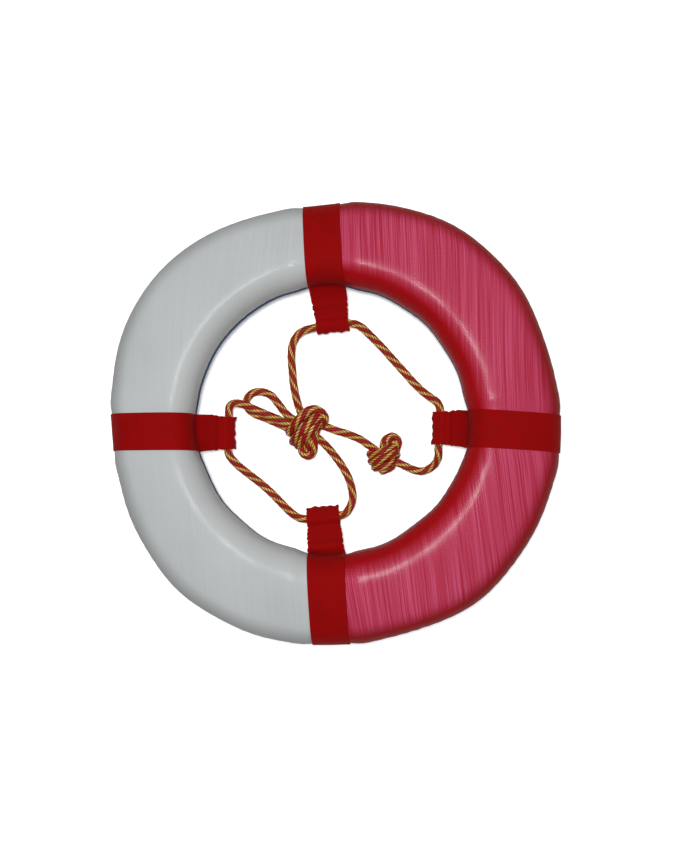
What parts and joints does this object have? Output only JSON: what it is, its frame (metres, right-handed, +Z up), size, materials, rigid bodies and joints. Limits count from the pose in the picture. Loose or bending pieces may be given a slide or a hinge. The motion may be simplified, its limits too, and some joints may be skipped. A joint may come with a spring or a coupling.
{
  "type": "ring lifebuoy",
  "caption": "Soft foam ring lifebuoy in a white, red and blue fabric cover, with webbing straps round the tube and a knotted grab rope threaded across the hole.",
  "frame": {"origin": "centre of the ring on the plane that it rests on, back face down", "axes": "+Z up through the ring towards the front face, +X to the red side, +Y to the top strap"},
  "size_m": [0.6, 0.6, 0.0923],
  "materials": {
    "foam": "closed-cell foam",
    "cover_white": "coated woven fabric, pale grey-white",
    "cover_red": "coated woven fabric, red with a pink sheen",
    "cover_blue": "coated woven fabric, blue",
    "seam_thread": "polyester sewing thread",
    "webbing": "ribbed polypropylene webbing, dark red",
    "tab_thread": "dark red sewing thread",
    "rope": "braided rope, red with yellow bands"
  },
  "bodies": {
    "ring": {"foam_core_back": "foam", "foam_core_middle": "foam", "foam_core_front": "foam", "front_cover_white": "cover_white", "front_cover_red": "cover_red", "back_cover_blue": "cover_blue", "inner_seam_stitching": "seam_thread", "outer_seam_stitching": "seam_thread", "panel_join_stitching": "seam_thread", "strap_band_top": "webbing", "strap_band_left": "webbing", "strap_band_bottom": "webbing", "strap_band_right": "webbing"},
    "grab_rope": {"rope_upper": "rope", "rope_middle": "rope", "rope_lower": "rope", "rope_bight": "rope", "big_knot": "rope", "small_knot": "rope"},
    "tab_top": {"strap_tab_top": "webbing", "tab_stitching_top": "tab_thread"},
    "tab_left": {"strap_tab_left": "webbing", "tab_stitching_left": "tab_thread"},
    "tab_bottom": {"strap_tab_bottom": "webbing", "tab_stitching_bottom": "tab_thread"},
    "tab_right": {"strap_tab_right": "webbing", "tab_stitching_right": "tab_thread"}
  },
  "joints": [
    {"name": "grab_rope_lift", "type": "slide", "parent": "ring", "child": "grab_rope", "axis": [0, 0, 1], "range_m": [0, 0.028]},
    {"name": "tab_top_flex", "type": "hinge", "parent": "ring", "child": "tab_top", "pos_m": [-0.00552, 0.16781, 0.03], "axis": [-0.9943, -0.1065, 0], "range_deg": [0, 46.03]},
    {"name": "tab_left_flex", "type": "hinge", "parent": "ring", "child": "tab_left", "pos_m": [-0.168, -0.013, 0.03], "axis": [0, -1, 0], "range_deg": [0, 64.99]},
    {"name": "tab_bottom_flex", "type": "hinge", "parent": "ring", "child": "tab_bottom", "pos_m": [-0.01053, -0.16976, 0.03], "axis": [0.9943, 0.1065, 0], "range_deg": [0, 36.92]},
    {"name": "tab_right_flex", "type": "hinge", "parent": "ring", "child": "tab_right", "pos_m": [0.16798, -0.00786, 0.03], "axis": [0.0357, 0.9994, 0], "range_deg": [0, 60.56]}
  ],
  "couplings": [
    {"joint": "tab_top_flex", "follows": "grab_rope_lift", "rad_per_m": 28.659},
    {"joint": "tab_left_flex", "follows": "grab_rope_lift", "rad_per_m": 40.481},
    {"joint": "tab_bottom_flex", "follows": "grab_rope_lift", "rad_per_m": 22.982},
    {"joint": "tab_right_flex", "follows": "grab_rope_lift", "rad_per_m": 37.72}
  ]
}
